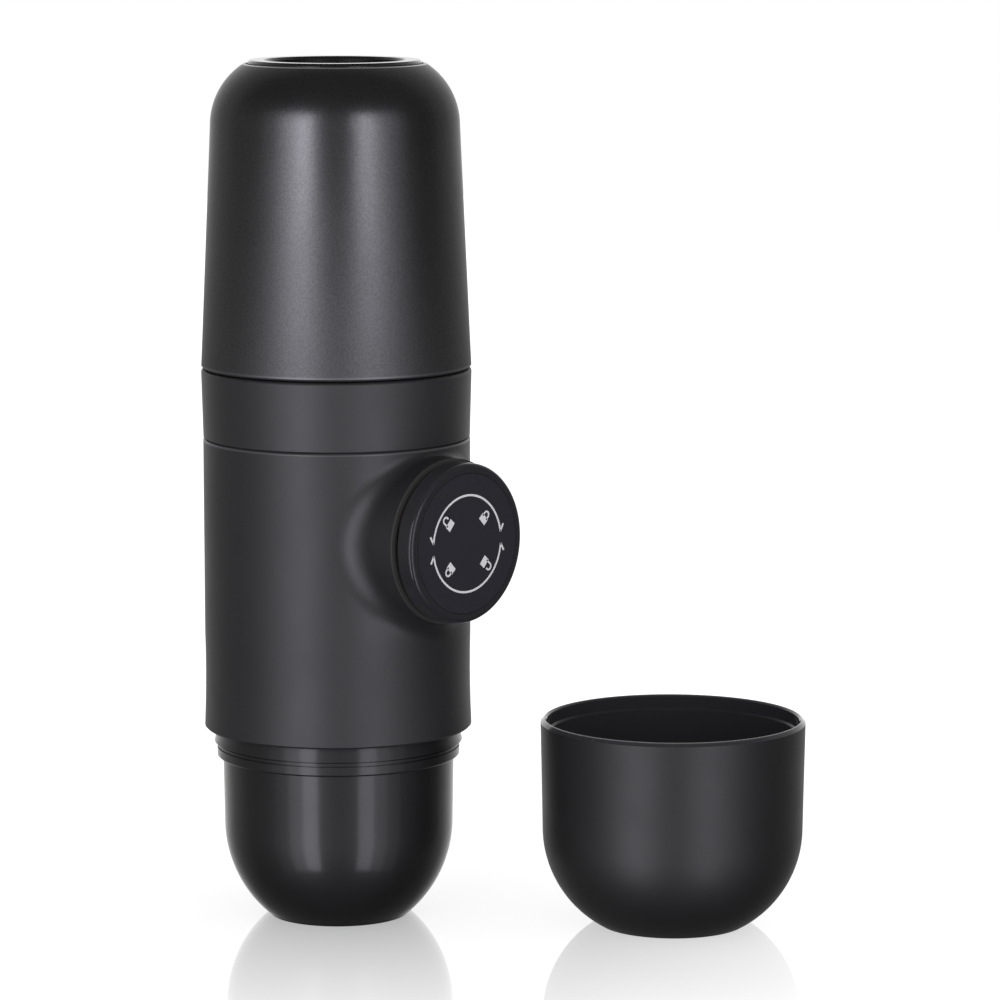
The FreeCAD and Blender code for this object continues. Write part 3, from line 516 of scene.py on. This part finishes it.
def make_lamp(name, turn, brightness):
    """Upright soft box, turn degrees round from the camera's side to the picture's right."""
    tall = LAMP_TOP - LAMP_BOTTOM
    data = bpy.data.lights.new(name, "AREA")
    data.shape = "RECTANGLE"
    data.size, data.size_y = LAMP_WIDE, tall
    data.color = LAMP_TINT
    data.energy = brightness * math.pi * LAMP_WIDE * tall
    lamp = bpy.data.objects.new(name, data)
    angle = math.radians(turn)
    out = RIGHT * math.sin(angle) - AHEAD * math.cos(angle)
    lamp.location = out * LAMP_AWAY + Vector((0, 0, (LAMP_TOP + LAMP_BOTTOM) / 2))
    lamp.rotation_mode = "QUATERNION"
    lamp.rotation_quaternion = (-out).to_track_quat("-Z", "Y")
    lamp.visible_camera = False
    bpy.context.scene.collection.objects.link(lamp)


def floor_material():
    """White, with a mirror image of the object that fades away from its foot."""
    made, tree = new_material("floor_pale")
    tree.nodes.remove(tree.nodes["Principled BSDF"])
    place = node(tree, "ShaderNodeTexCoord").outputs["Object"]
    near = node(tree, "ShaderNodeMapping", {"Vector": place, "Scale": (1 / SHEEN_REACH,) * 3})
    fade = node(tree, "ShaderNodeTexGradient", {"Vector": near.outputs["Vector"]},
                gradient_type="SPHERICAL")
    share = spread(tree, fade.outputs["Fac"], 0.0, SHEEN_SHARE, 0.0, 1.0)
    mirror = node(tree, "ShaderNodeBsdfGlossy", {"Roughness": 0.0})
    matte = node(tree, "ShaderNodeBsdfDiffuse", {"Color": grey(FLOOR_MATTE)})
    glow = node(tree, "ShaderNodeEmission", {"Strength": FLOOR_GLOW})
    bright = node(tree, "ShaderNodeAddShader", {0: matte.outputs[0], 1: glow.outputs[0]})
    seen = node(tree, "ShaderNodeMixShader", {
        0: share, 1: bright.outputs[0], 2: mirror.outputs[0],
    })
    other = node(tree, "ShaderNodeBsdfDiffuse", {"Color": grey(FLOOR_BOUNCE)})
    path = node(tree, "ShaderNodeLightPath").outputs
    both = node(tree, "ShaderNodeMixShader", {
        0: path["Is Camera Ray"], 1: other.outputs[0], 2: seen.outputs[0],
    })
    tree.links.new(both.outputs[0], tree.nodes["Material Output"].inputs["Surface"])
    return made


def make_floor():
    half = FLOOR_SIZE / 2
    mesh = bpy.data.meshes.new("floor")
    corners = [(-half, -half, 0), (half, -half, 0), (half, half, 0), (-half, half, 0)]
    mesh.from_pydata(corners, [], [(0, 1, 2, 3)])
    mesh.materials.append(floor_material())
    floor = bpy.data.objects.new("floor", mesh)
    bpy.context.scene.collection.objects.link(floor)
    floor.visible_glossy = False
    floor.visible_shadow = False


def make_camera():
    pitch = math.radians(CAMERA_PITCH)
    forward = AHEAD * math.cos(pitch) - Vector((0, 0, math.sin(pitch)))
    up = RIGHT.cross(forward)
    data = bpy.data.cameras.new("camera")
    data.lens = CAMERA_LENS
    data.clip_start, data.clip_end = 0.05, 20.0
    camera = bpy.data.objects.new("camera", data)
    camera.rotation_mode = "QUATERNION"
    turn = Matrix((RIGHT, up, -forward)).transposed().to_quaternion()
    roll = Matrix.Rotation(math.radians(CAMERA_ROLL), 3, forward).to_quaternion()
    camera.rotation_quaternion = roll @ turn
    camera.location = (forward * -CAMERA_AWAY + RIGHT * CAMERA_ASIDE + up * CAMERA_RAISED) * MM
    bpy.context.scene.collection.objects.link(camera)
    bpy.context.scene.camera = camera


dress_nodes()
make_print()
make_threads()
make_spring()
make_world()
for lamp_name, (turn, brightness) in LAMPS.items():
    make_lamp(lamp_name, turn, brightness)
make_floor()
make_camera()
bpy.context.scene.view_settings.view_transform = "Standard"
